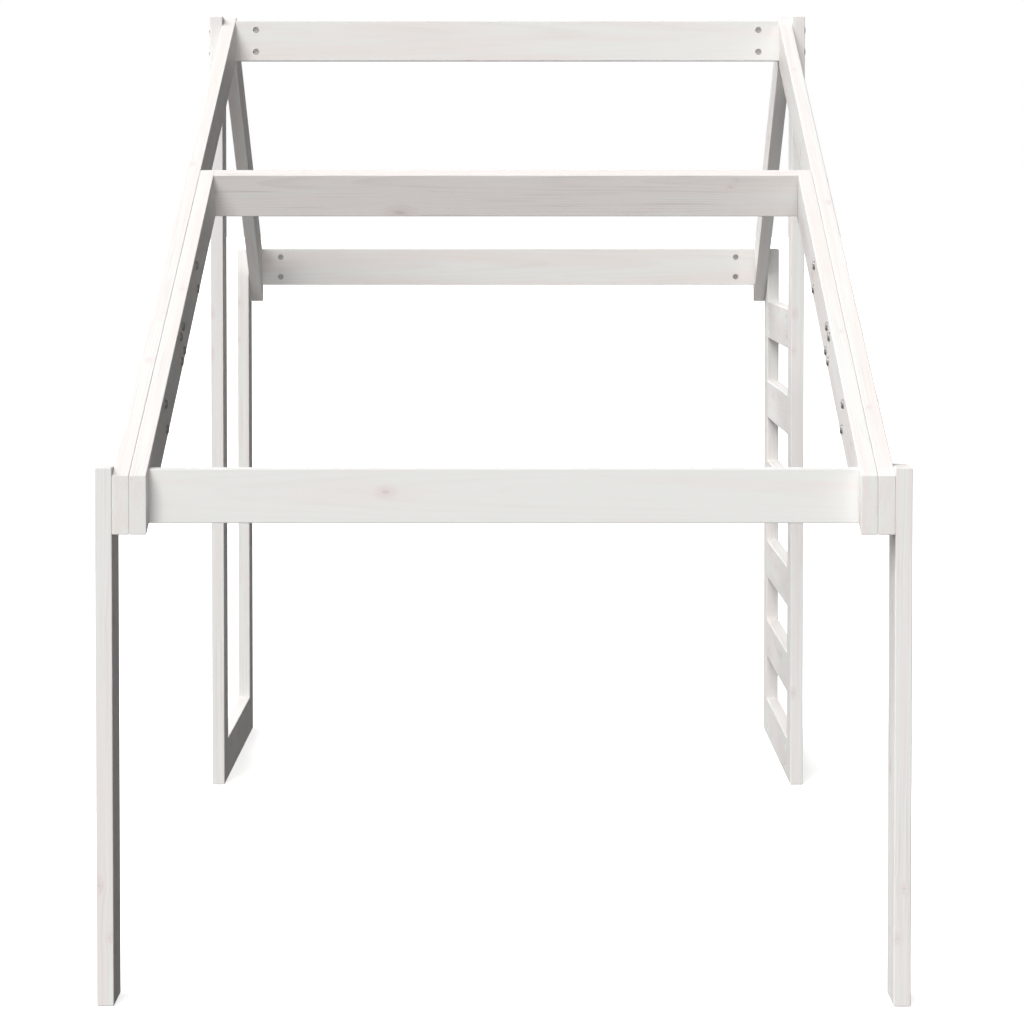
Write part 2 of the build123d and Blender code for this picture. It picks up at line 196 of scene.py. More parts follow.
def install(mesh: bpy.types.Mesh, material: bpy.types.Material, node: str) -> bpy.types.Object:
    """Put a mesh in the scene in place of a CAD node, and report how well it fits.

    Args:
        mesh: The finished mesh, in the frame.
        material: Its material.
        node: The CAD node that it stands for.

    Returns:
        The new object.
    """
    mesh.materials.append(material)
    piece = bpy.data.objects.new(mesh.name, mesh)
    bpy.context.scene.collection.objects.link(piece)
    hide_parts(node)
    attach(piece, "root")
    places = np.empty(len(mesh.vertices) * 3, np.float32)
    mesh.vertices.foreach_get("co", places)
    places = places.reshape(-1, 3)
    low, high = (np.array(corner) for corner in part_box(node))
    off = max(np.abs(places.min(axis=0) - low).max(), np.abs(places.max(axis=0) - high).max())
    log.info("%s: %d triangles, %.2f mm off the box of %s", piece.name, len(mesh.polygons), off * 1000, node)
    return piece


# --- Shader maths ---------------------------------------------------------------------


Number = Union[float, "Value"]
Link = Union[float, Sequence[float], "Value", bpy.types.NodeSocket]


def joined(operation: str, swapped: bool = False) -> Callable[["Value", Number], "Value"]:
    """Return a method that puts a value and another number, or the two swapped, in a Math node."""

    def method(self: "Value", other: Number) -> "Value":
        """Return the Math node's output."""
        return self.maths(operation, *((other, self) if swapped else (self, other)))

    return method


def alone(operation: str) -> Callable[["Value"], "Value"]:
    """Return a method that puts a value in a Math node by itself."""

    def method(self: "Value") -> "Value":
        """Return the Math node's output."""
        return self.maths(operation, self)

    return method


class Value:
    """A number in a shader. Arithmetic on it adds Math nodes."""

    def __init__(self, shader: "Shader", socket: bpy.types.NodeSocket) -> None:
        """Wrap a socket of a shader."""
        self.shader = shader
        self.socket = socket

    def maths(self, operation: str, *values: Number) -> "Value":
        """Return the output of a Math node on some values."""
        made = self.shader.node("ShaderNodeMath", {"operation": operation}, dict(enumerate(values)))
        return Value(self.shader, made.outputs[0])

    __add__, __radd__ = joined("ADD"), joined("ADD", True)
    __sub__, __rsub__ = joined("SUBTRACT"), joined("SUBTRACT", True)
    __mul__, __rmul__ = joined("MULTIPLY"), joined("MULTIPLY", True)
    __truediv__, __rtruediv__ = joined("DIVIDE"), joined("DIVIDE", True)
    at_least, __abs__ = joined("MAXIMUM"), alone("ABSOLUTE")
    root, fraction, rounded_down = alone("SQRT"), alone("FRACT"), alone("FLOOR")

    def step(self, start: float, stop: float) -> "Value":
        """Return a smooth step from 0 at start to 1 at stop; a start above stop steps down."""
        low, high, ends = (start, stop, (0.0, 1.0)) if start < stop else (stop, start, (1.0, 0.0))
        inputs = {"Value": self, "From Min": low, "From Max": high, "To Min": ends[0], "To Max": ends[1]}
        made = self.shader.node("ShaderNodeMapRange", {"interpolation_type": "SMOOTHSTEP"}, inputs)
        return Value(self.shader, made.outputs["Result"])


class Shader:
    """The node tree of one material, or of the room, built in code."""

    def __init__(self, owner: Union[bpy.types.Material, bpy.types.World]) -> None:
        """Empty the node tree of a material or a world."""
        owner.use_nodes = True
        self.owner, self.tree = owner, owner.node_tree
        self.tree.nodes.clear()

    @classmethod
    def of_material(cls, name: str) -> "Shader":
        """Start a new material."""
        return cls(bpy.data.materials.new(name))

    def node(
        self, kind: str, settings: Mapping[str, Any] | None = None, inputs: Mapping[Any, Link] | None = None
    ) -> bpy.types.Node:
        """Add a node.

        Args:
            kind: The node's type.
            settings: Its properties, set first.
            inputs: Values or links of its sockets, by name or number.

        Returns:
            The new node.
        """
        made = self.tree.nodes.new(kind)
        for name, value in (settings or {}).items():
            setattr(made, name, value)
        for name, value in (inputs or {}).items():
            link = value.socket if isinstance(value, Value) else value
            if isinstance(link, bpy.types.NodeSocket):
                self.tree.links.new(link, made.inputs[name])
            else:
                made.inputs[name].default_value = link
        return made

    def split(self, vector: bpy.types.NodeSocket) -> tuple[Value, Value, Value]:
        """Return the three numbers of a vector."""
        parts = self.node("ShaderNodeSeparateXYZ", {}, {0: vector}).outputs
        return Value(self, parts[0]), Value(self, parts[1]), Value(self, parts[2])

    def attribute(self, name: str) -> tuple[Value, Value, Value]:
        """Return the three numbers of a piece's attribute."""
        return self.split(self.node("ShaderNodeAttribute", {"attribute_name": name}).outputs["Vector"])

    def mark(self, name: str) -> Value:
        """Return the single number of a piece's attribute."""
        return Value(self, self.node("ShaderNodeAttribute", {"attribute_name": name}).outputs["Fac"])

    def place(self) -> bpy.types.NodeSocket:
        """Return the place in the frame, as object coordinates."""
        return self.node("ShaderNodeTexCoord").outputs["Object"]

    def point(self, x: Number, y: Number, z: Number) -> bpy.types.NodeSocket:
        """Return a vector made of three numbers."""
        return self.node("ShaderNodeCombineXYZ", {}, {0: x, 1: y, 2: z}).outputs[0]

    def noise(
        self, at: bpy.types.NodeSocket, detail: float = 2.0, rough: float = 0.5, scale: float = 1.0
    ) -> Value:
        """Return noise between 0 and 1 at a point."""
        inputs = {"Vector": at, "Scale": scale, "Detail": detail, "Roughness": rough}
        return Value(self, self.node("ShaderNodeTexNoise", {}, inputs).outputs["Fac"])

    def blend(self, share: Number, first: Link, second: Link) -> bpy.types.NodeSocket:
        """Return a mix of two colours, with the given share of the second."""
        settings = {"data_type": "RGBA", "blend_type": "MIX", "clamp_factor": True}
        return self.node("ShaderNodeMix", settings, {0: share, 6: first, 7: second}).outputs[2]

    def relief(self, height: Value, strength: float, depth: float) -> bpy.types.NodeSocket:
        """Return the normal of a bumped surface."""
        inputs = {"Strength": strength, "Distance": depth, "Height": height}
        return self.node("ShaderNodeBump", {}, inputs).outputs[0]

    def finish(self, inputs: Mapping[str, Link]) -> bpy.types.Material:
        """Close the material with a Principled BSDF and return it."""
        body = self.node("ShaderNodeBsdfPrincipled", {}, inputs)
        self.node("ShaderNodeOutputMaterial", {}, {"Surface": body.outputs[0]})
        return self.owner


# --- Finishes -------------------------------------------------------------------------


KNOT_ROOM = 3
NO_KNOT: Triple = (-9.0, 0.0, 0.0)


@dataclass(frozen=True)
class WhiteWashedPine:
    """Planed pine under a thin white wash, worked out from a board's own grain coordinates.

    The growth rings are circles round the heart of the log, so they run as lines and arches on
    the faces and as arcs on the sawn ends, and they flow round the knots. The wash hides most of
    the figure and leaves soft green-grey and rose bands along the grain.
    """

    cool: Colour = (0.815, 0.811, 0.788, 1.0)
    warm: Colour = (0.822, 0.776, 0.752, 1.0)
    rose: Colour = (0.765, 0.665, 0.655, 1.0)
    late_wood: Colour = (0.540, 0.495, 0.460, 1.0)
    fibre_and_arris_shade: Colour = (0.600, 0.570, 0.540, 1.0)
    # Also the colour of the painted shade along the arrises.
    knot_heart: Colour = (0.330, 0.280, 0.250, 1.0)
    bare_end: Colour = (0.700, 0.665, 0.625, 1.0)
    ring_width: float = 0.0036
    half_width: float = 0.035
    half_thick: float = 0.011
    broad_rate: Triple = (1.7, 9.0, 9.0)
    fibre_rate: Triple = (16.0, 900.0, 900.0)
    streak_rate: Triple = (4.5, 330.0, 330.0)
    band_rate: Triple = (2.4, 34.0, 90.0)
    patch_rate: Triple = (5.0, 24.0, 60.0)
    relief_depth: float = 0.0005

    def _knots(
        self, shader: Shader, kind: str, along: Value, off: Value, stretch: float
    ) -> tuple[Value, Value, Value]:
        """Work out the knots that show in one pair of faces.

        Round a knot the grain line is moved aside as a stream is by a post: off times one less
        the radius squared over the distance squared.

        Args:
            shader: The shader.
            kind: The first word of the attributes that hold the knots.
            along: Coordinate along the board.
            off: Coordinate across the faces that show the knots.
            stretch: How much longer than wide a knot's dark heart is.

        Returns:
            The moved coordinate, the knots' soft halo and their dark hearts.
        """
        flow, halos, hearts = off, [], []
        for number in range(KNOT_ROOM):
            place, middle, radius = shader.attribute(f"{kind}_knot_{number}")
            run, side = along - place, off - middle
            square = run * run * 0.4 + side * side
            held = radius * radius
            flow = flow - side * (held / square.at_least(held + 1e-9))
            size = radius.at_least(WELD)
            reach = square.root() / size
            turned = run / stretch + side * 0.18
            core = (turned * turned + side * side).root() / size
            rings = 0.6 + 0.4 * (reach * 2.6).fraction().step(0.2, 0.8)
            halos.append(reach.step(2.0, 0.5) * rings)
            hearts.append(core.step(0.50, 0.18))
        return flow, reduce(Value.at_least, halos), reduce(Value.at_least, hearts)

    def material(self) -> bpy.types.Material:
        """Return the material.

        Returns:
            Colour, roughness and relief from rings, fibres, knots, the wash, sawn ends and a painted shade along
            the arrises.
        """
        shader = Shader.of_material("white_washed_pine")
        along, across, through = shader.attribute("grain")
        heart_b, heart_c, seed = shader.attribute("heart")
        figure, blush, _ = shader.attribute("wash")
        sawn = shader.mark("sawn")
        flow_b, face_halo, face_heart = self._knots(shader, "face", along, across, 2.2)
        flow_c, edge_halo, edge_heart = self._knots(shader, "edge", along, through, 0.45)
        on_edge = abs(across).step(self.half_width - 0.0016, self.half_width - 0.0006)
        halo = (face_halo * (1 - on_edge) + edge_halo * on_edge) * (1 - sawn)
        heart = (face_heart * (1 - on_edge) + edge_heart * on_edge) * (1 - sawn)

        def at(rate: Triple, side: Value, deep: Value) -> bpy.types.NodeSocket:
            """Return a point in the grain, scaled to a noise with this many spots to the metre."""
            return shader.point(along * rate[0] + seed, side * rate[1], deep * rate[2])

        broad = shader.noise(at(self.broad_rate, across, through)) - 0.5
        b = flow_b - heart_b - along * 0.006 + broad * 0.010
        c = flow_c - heart_c - along * 0.016 + broad * 0.006
        phase = (b * b + c * c).root() / self.ring_width + broad * 1.4
        ring = phase.fraction()
        number = phase.rounded_down() + seed
        chance = shader.node("ShaderNodeTexWhiteNoise", {"noise_dimensions": "1D"}, {"W": number})
        depth = 0.35 + 0.65 * Value(shader, chance.outputs["Value"])
        late = ring.step(0.35, 0.90) * ring.step(1.0, 0.93) * depth

        fibre = shader.noise(at(self.fibre_rate, across, through), 3.0, 0.6)
        streak = shader.noise(at(self.streak_rate, flow_b, flow_c), 2.0, 0.6)
        b_rate, p_rate = self.band_rate, self.patch_rate
        band = shader.noise(shader.point(along * b_rate[0] - seed, flow_b * b_rate[1], flow_c * b_rate[2]))
        patch = shader.noise(
            shader.point(along * p_rate[0] + seed, across * p_rate[1] - seed, through * p_rate[2])
        )

        thin = patch.step(0.40, 0.64)
        face = shader.blend((band + blush).step(0.42, 0.60), self.cool, self.warm)
        face = shader.blend(halo * 0.65, face, self.rose)
        face = shader.blend(
            streak.step(0.53, 0.72) * (0.10 + 0.45 * thin) * figure * figure, face, self.fibre_and_arris_shade
        )
        face = shader.blend(fibre.step(0.50, 0.85) * (0.05 + 0.07 * thin), face, self.fibre_and_arris_shade)
        rings = late * (0.05 + 0.16 * thin) * (figure + 0.15) * (1 - 0.6 * sawn)
        face = shader.blend(rings, face, self.late_wood)
        face = shader.blend(heart * (0.16 + 0.16 * fibre), face, self.knot_heart)
        # Painted shade: a darker band within about 2 mm of each arris, in the fibre colour, stands in for the
        # shading of the rounded edges.
        from_arris = (self.half_width - abs(across)).at_least(self.half_thick - abs(through))
        face = shader.blend(from_arris.step(0.0022, 0.0006) * 0.14 * streak, face, self.fibre_and_arris_shade)
        face = shader.blend(sawn * (0.04 + 0.16 * fibre), face, self.bare_end)

        rough = 0.50 + 0.12 * fibre - 0.06 * thin + 0.12 * sawn + 0.05 * late - 0.08 * halo
        height = late * 0.55 * figure + fibre * 0.30 + streak * 0.40 - heart + sawn * fibre * 0.6
        return shader.finish(
            {
                "Base Color": face,
                "Roughness": rough,
                "Normal": shader.relief(height, 0.22, self.relief_depth),
                "Specular IOR Level": 0.35,
            }
        )


@dataclass(frozen=True)
class TurnedSteel:
    """Zinc-plated steel with fine turning marks round each fastener's own axis."""

    name: str
    light: Colour
    dark: Colour
    roughness: float
    marks: float

    def material(self) -> bpy.types.Material:
        """Return the material, which reads the distance from the fastener's axis."""
        shader = Shader.of_material(self.name)
        x, y, z = shader.attribute("lathe")
        radius = (x * x + y * y).root()
        turning = shader.noise(shader.point(radius * 2600.0, z * 2600.0, 0.0), 2.0, 0.6)
        bloom = shader.noise(shader.point(x * 420.0, y * 420.0, z * 420.0), 4.0, 0.6)
        face = shader.blend(bloom.step(0.35, 0.72), self.light, self.dark)
        face = shader.blend(turning.step(0.55, 0.80) * 0.35, face, self.dark)
        rough = self.roughness + 0.12 * bloom + 0.08 * turning
        normal = shader.relief(turning * self.marks + bloom * 0.3, 0.25, 0.00008)
        return shader.finish({"Base Color": face, "Roughness": rough, "Normal": normal, "Metallic": 1.0})


@dataclass(frozen=True)
class ThreadedSteel:
    """Zinc-plated rod, with threads that show as fine rings along an axis, and painted shade in the thread roots.
    """

    name: str = "zinc_threaded_rod"
    light: Colour = (0.56, 0.56, 0.55, 1.0)
    dark: Colour = (0.34, 0.34, 0.33, 1.0)
    threads_per_metre: float = 1000.0

    def material(self) -> bpy.types.Material:
        """Return the material, with a thread every millimetre along Y."""
        shader = Shader.of_material(self.name)
        groove = abs((shader.split(shader.place())[1] * self.threads_per_metre).fraction() - 0.5) * 2.0
        # Painted shade: the thread roots are coloured towards the dark colour.
        face = shader.blend(groove, self.light, self.dark)
        rough, normal = 0.34 + 0.14 * groove, shader.relief(1 - groove, 0.6, 0.0003)
        return shader.finish({"Base Color": face, "Roughness": rough, "Normal": normal, "Metallic": 1.0})


@dataclass(frozen=True)
class BeechDowel:
    """Bare turned beech with short dark rays."""

    name: str = "bare_beech"
    light: Colour = (0.62, 0.44, 0.27, 1.0)
    dark: Colour = (0.44, 0.28, 0.15, 1.0)

    def material(self) -> bpy.types.Material:
        """Return the material, with its grain along Y."""
        shader = Shader.of_material(self.name)
        x, y, z = shader.split(shader.place())
        grain = shader.noise(shader.point(x * 900.0, y * 40.0, z * 900.0), 3.0)
        rays = shader.noise(shader.point(x * 1600.0, y * 300.0, z * 1600.0)).step(0.58, 0.66)
        face = shader.blend(grain.step(0.3, 0.7) * 0.5 + rays * 0.4, self.light, self.dark)
        normal = shader.relief(grain - rays * 0.6, 0.3, 0.0002)
        return shader.finish({"Base Color": face, "Roughness": 0.55 + 0.15 * grain, "Normal": normal})


# --- Boards ---------------------------------------------------------------------------


class End(Enum):
    """How a board ends."""

    EASED = "rounded like its long edges"
    BUTT = "cut square-edged, to meet another board"


@dataclass(frozen=True)
class Cut:
    """The plane of a board's end, which crosses its length at place + slant * across."""

    place: float
    slant: float = 0.0
    end: End = End.EASED

    def normal(self, outward: int) -> np.ndarray:
        """Return the plane's unit normal in the board's coordinates, out of the board."""
        return np.array((1.0, -self.slant, 0.0)) * outward / math.hypot(1.0, self.slant)


@dataclass(frozen=True)
class Pocket:
    """A round blind hole in a wide face, on the side that the sign of side says."""

    along: float
    across: float
    side: int
    radius: float
    depth: float


@dataclass(frozen=True)
class Stock:
    """The section that every board is planed to."""

    width: float = 0.070
    thick: float = 0.022
    ease: float = 0.0015
    arc_steps: int = 5
    hole_steps: int = 36
    hole_edge: float = 0.0004
    hole_edge_mark: float = 0.5
    hole_wall_mark: float = 0.6

    def outline(self) -> tuple[np.ndarray, np.ndarray]:
        """Return the corner centres and outward directions round the section.

        The outline is four quarter circles of radius ease about four centres, joined by straight
        lines, so a point is its centre plus the radius times its direction.
        """
        turns = np.linspace(0.0, np.pi / 2, self.arc_steps + 1)
        angles = (np.arange(4)[:, None] * np.pi / 2 + turns).ravel()
        signs = np.repeat(np.array(((1, 1), (-1, 1), (-1, -1), (1, -1))), turns.size, axis=0)
        centres = signs * np.array((self.width / 2 - self.ease, self.thick / 2 - self.ease))
        return centres, np.stack([np.cos(angles), np.sin(angles)], axis=1)

    def end_rows(self, cut: Cut, outward: int) -> list[np.ndarray]:
        """Return rings of corners from the flat of a board's end to the start of its full section.

        An eased end is rolled with a ball of the same radius as the long edges. The ball's centre
        stands that radius inside the end plane and under a corner centre of the section, and the
        surface turns about it from the end's normal to the side's along the shortest arc.

        Args:
            cut: The end plane.
            outward: 1 at the far end of the board, -1 at its start.

        Returns:
            The rings, the end's first.
        """
        centres, ways = self.outline()
        sides = np.concatenate([np.zeros((len(ways), 1)), ways], axis=1)
        if cut.end is End.BUTT:
            section = centres + self.ease * ways
            return [corner_rows(np.column_stack([cut.place + cut.slant * section[:, 0], section]), sides)]
        end_normal = cut.normal(outward)
        back = outward * self.ease * math.hypot(1.0, cut.slant)
        middles = np.column_stack([cut.place + cut.slant * centres[:, 0] - back, centres])
        whole = np.arccos(sides @ end_normal)[:, None]
        rows = []
        for share in np.linspace(1.0, 0.0, self.arc_steps + 1):
            normals = np.sin((1 - share) * whole) * sides + np.sin(share * whole) * end_normal
            normals /= np.sin(whole)
            rows.append(corner_rows(middles + self.ease * normals, normals, share**2))
        return rows

    def cap(self, ring: np.ndarray, cut: Cut, outward: int) -> Patch:
        """Return the flat that closes an end, marked as sawn."""
        flat = corner_rows(ring[:, :3], cut.normal(outward), 1.0)
        return Patch.fan(flat, np.array((cut.place, 0.0, 0.0)))

    def bored_face(self, face: np.ndarray, pockets: Sequence[Pocket], side: int) -> list[Patch]:
        """Return a flat wide face with round blind holes in it.

        The face is the constrained triangulation of its outline and the hole rims, without the
        triangles that have all three corners on one rim. A hole is a ring that steps in by its
        broken edge, runs down its wall and closes at the middle of its floor.

        Args:
            face: The four corners of the face, of seven numbers each.
            pockets: The holes in this face.
            side: 1 for the face on the positive side of the board, -1 for the other.

        Returns:
            The patches of the face and its holes.
        """
        steps = np.arange(self.hole_steps)
        turn = np.linspace(0.0, 2 * np.pi, self.hole_steps, endpoint=False)
        circle = np.stack([np.cos(turn), np.sin(turn)], axis=1)
        middles = [np.array((p.along, p.across)) for p in pockets]
        mouths = [pocket.radius + self.hole_edge for pocket in pockets]
        flat = np.concatenate([face[:, :2], *(m + wide * circle for m, wide in zip(middles, mouths))])
        loops = [np.arange(4), *(4 + n * self.hole_steps + steps for n in range(len(pockets)))]
        edges = np.concatenate([np.stack([loop, np.roll(loop, -1)], axis=1) for loop in loops])
        found = delaunay_2d_cdt([Vector(p) for p in flat], edges.tolist(), [], 1, 1e-7)
        original = np.array([ids[0] for ids in found[3]])
        triangles = original[np.array([list(corner) for corner in found[2]])]
        rim = (triangles - 4) // self.hole_steps
        kept = (rim < 0).any(axis=1) | (rim != rim[:, :1]).any(axis=1)
        level, out = side * self.thick / 2, np.array((0.0, 0.0, side))
        points = np.column_stack([flat, np.full(len(flat), level)])
        patches = [Patch(corner_rows(points, out)[triangles[kept]])]
        wall = np.column_stack([-circle, np.zeros(self.hole_steps)])
        bevel = (wall + out) / math.sqrt(2)
        for middle, mouth, pocket in zip(middles, mouths, pockets):
            brim, lip, foot = (
                np.column_stack([middle + radius * circle, np.full(self.hole_steps, level - side * down)])
                for radius, down in zip((mouth, pocket.radius, pocket.radius), (0.0, self.hole_edge, pocket.depth))
            )
            for rings, way, mark in (
                ((brim, lip), bevel, self.hole_edge_mark),
                ((lip, foot), wall, self.hole_wall_mark),
            ):
                patches.append(Patch.grid(np.stack([corner_rows(ring, way, mark) for ring in rings]), True))
            floor = np.array((*middle, level - side * pocket.depth))
            patches.append(Patch.fan(corner_rows(foot, out, 1.0), floor))
        return patches

    def board(self, start: Cut, stop: Cut, pockets: Sequence[Pocket]) -> list[Patch]:
        """Return the closed surface of a board between two cuts.

        Args:
            start: The cut at its start.
            stop: The cut at its far end.
            pockets: Holes in its wide faces.

        Returns:
            Patches in the board's own coordinates: along, across and through it.
        """
        first, last = self.end_rows(start, -1), self.end_rows(stop, 1)
        patches = [self.cap(first[0], start, -1), self.cap(last[0], stop, 1)]
        patches += [Patch.grid(np.stack(rows), True) for rows in (first, last) if len(rows) > 1]
        span = np.stack([first[-1], last[-1]])
        bored = {1: self.arc_steps, -1: 3 * self.arc_steps + 2}
        for column in range(span.shape[1]):
            strip = np.take(span, (column, column + 1), axis=1, mode="wrap")
            side = next((s for s, c in bored.items() if c == column), 0)
            holes = [pocket for pocket in pockets if pocket.side == side]
            if side and holes:
                outline = np.stack([strip[0, 0], strip[0, 1], strip[1, 1], strip[1, 0]])
                patches += self.bored_face(outline, holes, side)
            else:
                patches.append(Patch.grid(strip, False))
        return patches


@dataclass(frozen=True)
class Look:
    """How a board looks: its knots, how strong its figure shows and how warm its wash is.

    Each knot is how far along the board it is, how far off the middle line, and its radius.
    """

    face_knots: tuple[Triple, ...] = ()
    edge_knots: tuple[Triple, ...] = ()
    figure: float = 0.7
    blush: float = 0.0

    def dress(self, mesh: bpy.types.Mesh) -> None:
        """Write the look into a board's mesh."""
        constant_attribute(mesh, "wash", (self.figure, self.blush, 0.0))
        for kind, knots in (("face", self.face_knots), ("edge", self.edge_knots)):
            for number, knot in enumerate((*knots, *[NO_KNOT] * KNOT_ROOM)[:KNOT_ROOM]):
                constant_attribute(mesh, f"{kind}_knot_{number}", knot)


LOOKS: Mapping[str, Look] = {
    "front_post_left": Look(
        ((0.118, 0.012, 0.009), (0.492, -0.014, 0.007)),
        ((0.155, -0.0075, 0.0055), (0.163, -0.0085, 0.0030), (0.088, 0.006, 0.0035)),
    ),
    "front_post_right": Look(
        ((0.300, 0.010, 0.008), (0.560, -0.016, 0.006)),
        ((0.152, 0.0020, 0.0050), (0.088, -0.0060, 0.0040)),
    ),
    "ridge_post_left": Look(
        ((0.345, 0.014, 0.010), (0.905, -0.012, 0.008), (1.190, 0.006, 0.006)),
        ((0.831, -0.0100, 0.0055), (0.763, -0.0100, 0.0040), (0.752, -0.0105, 0.0035)),
    ),
    "ridge_post_right": Look(
        ((0.420, -0.010, 0.009), (0.975, 0.015, 0.007)),
        ((0.831, -0.0060, 0.0050), (0.765, -0.0070, 0.0040), (0.162, -0.0065, 0.0050)),
    ),
    "rear_post_left": Look(
        ((0.250, -0.012, 0.009), (0.640, 0.010, 0.007)),
        ((0.832, -0.0080, 0.0055), (0.761, -0.0090, 0.0040)),
    ),
    "rear_post_right": Look(((0.390, 0.014, 0.009),), ((0.520, 0.0060, 0.0045),)),
    "rafter_outer_lower_left": Look(((0.140, 0.010, 0.008),), ((0.330, 0.003, 0.005),)),
    "rafter_outer_upper_left": Look(
        ((0.760, -0.012, 0.009), (1.310, 0.014, 0.007)), ((1.020, -0.004, 0.005),)
    ),
    "rafter_inner_left": Look(((0.250, -0.015, 0.008), (0.805, 0.012, 0.006)), ((0.560, 0.004, 0.004),)),
    "rear_rafter_left": Look(((0.150, 0.004, 0.010), (0.215, -0.010, 0.006), (0.480, 0.012, 0.007))),
    "rafter_outer_lower_right": Look(((0.310, -0.010, 0.008),), ((0.190, -0.004, 0.004),)),
    "rafter_outer_upper_right": Look(
        ((0.650, 0.012, 0.007), (1.180, -0.014, 0.009)), ((0.870, 0.004, 0.005), (1.430, -0.003, 0.004))
    ),
    "rafter_inner_right": Look(((0.120, 0.016, 0.006), (0.700, -0.010, 0.008)), ((0.420, 0.003, 0.004),)),
    "rear_rafter_right": Look(((0.260, -0.006, 0.009), (0.560, 0.014, 0.007))),
    "front_eave_beam": Look(((0.303, 0.005, 0.0060),), figure=0.15, blush=-0.12),
    "middle_purlin": Look(
        ((0.288, -0.0290, 0.0105), (0.812, 0.026, 0.0032), (0.803, 0.015, 0.0036)), figure=1.1, blush=0.14
    ),
    "ridge_beam": Look(((0.905, 0.060, 0.0040),), figure=0.30),
    "rear_eave_beam": Look(((0.640, -0.060, 0.0040),), figure=0.35, blush=0.02),
    "ladder_rung_1": Look(((0.330, -0.012, 0.008),)),
    "ladder_rung_2": Look(((0.120, 0.014, 0.007), (0.395, -0.016, 0.005))),
    "ladder_rung_3": Look(((0.240, 0.006, 0.006),)),
    "ladder_rung_4": Look(((0.085, -0.014, 0.008),)),
    "ladder_rung_5": Look(((0.310, 0.015, 0.007),)),
    "ladder_rung_6": Look(((0.190, -0.008, 0.006), (0.420, 0.012, 0.005))),
    "side_sill_rail": Look(((0.205, 0.010, 0.009),)),
}


HEART_ASIDE = 0.030
HEART_BEYOND = (0.025, 0.075)
SEED_RANGE = 60


@dataclass(frozen=True)
class Board:
    """One board of the frame, as it stands and as it is cut and bored."""

    node: str
    axes: Axes
    start: Cut
    stop: Cut
    pockets: tuple[Pocket, ...] = ()

    def heart(self) -> Triple:
        """Return where the heart of the log lies beside the board, and the board's noise seed."""
        luck = np.random.default_rng(zlib.crc32(self.node.encode()))
        side = luck.choice((-1.0, 1.0))
        aside, beyond = luck.uniform(-HEART_ASIDE, HEART_ASIDE), luck.uniform(*HEART_BEYOND)
        return float(aside), float(side * beyond), float(luck.uniform(0, SEED_RANGE))

    def build(self, material: bpy.types.Material) -> bpy.types.Object:
        """Make the board's mesh, give it its grain, and put it in place of its CAD node."""
        shell = Shell()
        shell.add(STOCK.board(self.start, self.stop, self.pockets), self.axes)
        mesh = shell.mesh(f"pine_{self.node}", "grain")
        constant_attribute(mesh, "heart", self.heart())
        LOOKS[self.node].dress(mesh)
        return install(mesh, material, self.node)


# --- Fasteners ------------------------------------------------------------------------


CROSS_ARM_WIDTH = 0.24


class Drive(Enum):
    """The recess in the end of a fastener."""

    HEX = "a six-sided socket"
    CROSS = "a cross recess"

    def outline(self, turn: np.ndarray, half: float) -> np.ndarray:
        """Return the radius of the recess at each angle.

        A hexagon's radius is half its flats over the cosine of the angle from the middle of a
        side. A cross's is the arm's half width over the sine of the angle from the arm, or the
        arm's length over its cosine, whichever is less.

        Args:
            turn: Angles round the axis.
            half: Half the width over the flats, or the length of an arm.

        Returns:
            The radii.
        """
        if self is Drive.HEX:
            return half / np.cos((turn + np.pi / 6) % (np.pi / 3) - np.pi / 6)
        off = np.abs((turn + np.pi / 4) % (np.pi / 2) - np.pi / 4)
        return np.minimum(half / np.cos(off), half * CROSS_ARM_WIDTH / np.maximum(np.sin(off), 1e-9))


